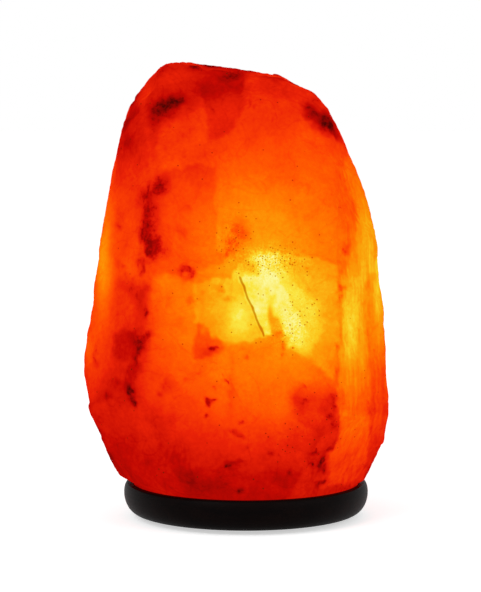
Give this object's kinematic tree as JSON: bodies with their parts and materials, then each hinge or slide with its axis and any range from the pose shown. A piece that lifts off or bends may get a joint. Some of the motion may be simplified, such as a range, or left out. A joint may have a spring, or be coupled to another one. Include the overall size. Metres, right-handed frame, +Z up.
{
  "type": "salt crystal lamp",
  "caption": "Rock salt crystal hollowed from below on a turned dark wood base, with a pull-out spring-clip lampholder and a screw-in bulb.",
  "frame": {"origin": "Middle of the whole object's footprint, on the surface that the feet stand on. The lamp's own axis stands 4.8 mm to the right of it, at X = +0.0048.", "axes": "+Z up. -Y is the front, the broad face that the picture shows, and +Y is the back, where the cord's inlet is. +X is the viewer's right."},
  "size_m": [0.1542, 0.126, 0.2328],
  "materials": {
    "rock_salt": "satin, split and lightly polished, lit from inside",
    "nylon": "moulded",
    "zinc_steel": "zinc plated",
    "dark_wood": "turned, dark stained, satin lacquer",
    "black_rubber": "moulded, matt",
    "black_phenolic": "compression moulded",
    "white_steatite": "unglazed",
    "brass_sheet": "stamped, bright",
    "spring_steel": "rolled strip",
    "nickel_cap": "nickel plated",
    "black_glass": "glossy",
    "solder": "dull",
    "clear_glass": "clear",
    "nickel_wire": "drawn",
    "hot_tungsten": "glowing"
  },
  "bodies": {
    "lamp_body": {"salt_crystal": "rock_salt", "screw_plugs": "nylon", "crystal_screws": "zinc_steel", "wood_base": "dark_wood", "rubber_feet": "black_rubber", "foot_screws": "zinc_steel", "cord_grommet": "black_rubber"},
    "lampholder": {"holder_cap": "black_phenolic", "holder_barrel": "black_phenolic", "holder_core": "white_steatite", "screw_shell": "brass_sheet", "centre_contact": "brass_sheet", "shell_contact": "brass_sheet", "terminal_screws": "brass_sheet", "core_screws": "zinc_steel", "clip_band": "spring_steel", "clip_rivets": "zinc_steel"},
    "right_wing": {"clip_wing_right": "spring_steel"},
    "left_wing": {"clip_wing_left": "spring_steel"},
    "bulb_contact": {"bulb_tip": "solder"},
    "bulb": {"bulb_cap": "nickel_cap", "bulb_insulator": "black_glass", "bulb_glass": "clear_glass", "bulb_stem": "clear_glass", "bulb_leads": "nickel_wire", "filament_supports": "nickel_wire", "bulb_filament": "hot_tungsten"}
  },
  "joints": [
    {"name": "holder_pull", "type": "slide", "parent": "lamp_body", "child": "lampholder", "axis": [0, 0, -1], "range_m": [0, 0.12]},
    {"name": "right_wing_squeeze", "type": "hinge", "parent": "lampholder", "child": "right_wing", "pos_m": [0.0197, 0, 0.0504], "axis": [0, 1, 0], "range_deg": [0, 10], "stiffness_Nm_per_rad": 0.1, "springref_deg": -2.86},
    {"name": "left_wing_squeeze", "type": "hinge", "parent": "lampholder", "child": "left_wing", "pos_m": [-0.0101, 0, 0.0504], "axis": [0, -1, 0], "range_deg": [0, 10], "stiffness_Nm_per_rad": 0.1, "springref_deg": -2.86},
    {"name": "bulb_lift", "type": "slide", "parent": "lampholder", "child": "bulb_contact", "axis": [0, 0, 1], "range_m": [0, 0.01128]},
    {"name": "bulb_turn", "type": "hinge", "parent": "bulb_contact", "child": "bulb", "pos_m": [0.0048, 0, 0.0532], "axis": [0, 0, 1], "range_deg": [0, 1440]}
  ],
  "couplings": [
    {"joint": "left_wing_squeeze", "follows": "right_wing_squeeze", "ratio": 1},
    {"joint": "bulb_turn", "follows": "bulb_lift", "rad_per_m": 2226.5}
  ]
}
